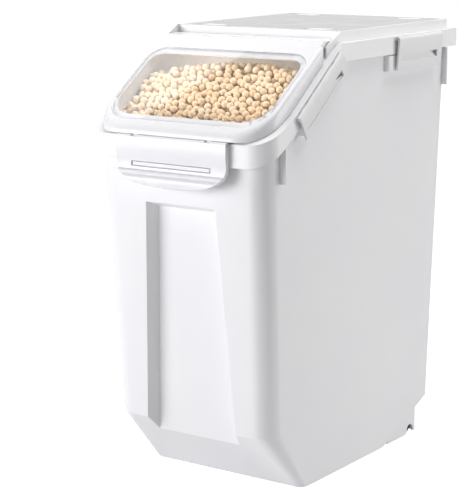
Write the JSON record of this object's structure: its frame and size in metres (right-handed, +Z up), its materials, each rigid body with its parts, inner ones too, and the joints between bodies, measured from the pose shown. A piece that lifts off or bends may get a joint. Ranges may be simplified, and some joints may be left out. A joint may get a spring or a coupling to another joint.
{
  "type": "rice bin with flip lid",
  "caption": "Tall wheeled rice bin with a sloping front, lift-off cover, flip lid with a clear window, front latch, side latches and a tall grip groove.",
  "frame": {"origin": "on the floor under the centre of the bounding box", "axes": "+Z up, the sloping lid and the grip groove face -Y, +X is the right side for a viewer in front"},
  "size_m": [0.2298, 0.386, 0.46],
  "materials": {
    "tub_white": "satin moulded",
    "cover_white": "satin moulded",
    "panel_grey": "gloss",
    "pad_grey": "gloss",
    "lid_white": "gloss moulded",
    "window_clear": "clear gloss",
    "latch_milky": "milky gloss",
    "clip_white": "satin moulded",
    "seal_grey": "matt",
    "foot_rubber": "matt",
    "wheel_black": "matt",
    "pin_steel": "satin"
  },
  "bodies": {
    "bin": {"bin_body": "tub_white", "foot_pads": "foot_rubber", "axle_left": "pin_steel", "axle_right": "pin_steel"},
    "wheel_l": {"wheel_left": "wheel_black"},
    "wheel_r": {"wheel_right": "wheel_black"},
    "cover": {"cover_frame": "cover_white", "rim_seal": "seal_grey", "top_panel": "panel_grey", "stack_pads": "pad_grey", "hinge_pin_left": "pin_steel", "hinge_pin_right": "pin_steel", "pin_slope_left": "pin_steel", "pin_slope_right": "pin_steel", "pin_rear_left": "pin_steel", "pin_rear_right": "pin_steel"},
    "lid": {"lid_frame": "lid_white", "lid_window": "window_clear", "lid_seal": "seal_grey", "front_latch_pin": "pin_steel"},
    "front_clip": {"front_latch": "latch_milky"},
    "clip_slope_l": {"latch_slope_left": "clip_white"},
    "clip_slope_r": {"latch_slope_right": "clip_white"},
    "clip_rear_l": {"latch_rear_left": "clip_white"},
    "clip_rear_r": {"latch_rear_right": "clip_white"}
  },
  "joints": [
    {"name": "wheel_left_spin", "type": "hinge", "parent": "bin", "child": "wheel_l", "pos_m": [-0.08463, 0.11753, 0.0147], "axis": [1, 0, 0], "continuous": true},
    {"name": "wheel_right_spin", "type": "hinge", "parent": "bin", "child": "wheel_r", "pos_m": [0.08463, 0.11753, 0.0147], "axis": [1, 0, 0], "continuous": true},
    {"name": "cover_lift", "type": "slide", "parent": "bin", "child": "cover", "axis": [0, 0, 1], "range_m": [0, 0.15]},
    {"name": "lid_hinge", "type": "hinge", "parent": "cover", "child": "lid", "pos_m": [0, -0.0462, 0.4492], "axis": [-1, 0, 0], "range_deg": [0, 100]},
    {"name": "front_latch_hinge", "type": "hinge", "parent": "lid", "child": "front_clip", "pos_m": [0, -0.18735, 0.36093], "axis": [-1, 0, 0], "range_deg": [0, 85]},
    {"name": "latch_slope_left_hinge", "type": "hinge", "parent": "cover", "child": "clip_slope_l", "pos_m": [-0.1118, -0.09564, 0.41118], "axis": [0, 0.8018, 0.5976], "range_deg": [0, 90]},
    {"name": "latch_slope_right_hinge", "type": "hinge", "parent": "cover", "child": "clip_slope_r", "pos_m": [0.1118, -0.09564, 0.41118], "axis": [0, -0.8018, -0.5976], "range_deg": [0, 90]},
    {"name": "latch_rear_left_hinge", "type": "hinge", "parent": "cover", "child": "clip_rear_l", "pos_m": [-0.1118, 0.099, 0.44675], "axis": [0, 1, 0], "range_deg": [0, 90]},
    {"name": "latch_rear_right_hinge", "type": "hinge", "parent": "cover", "child": "clip_rear_r", "pos_m": [0.1118, 0.099, 0.44675], "axis": [0, -1, 0], "range_deg": [0, 90]}
  ]
}
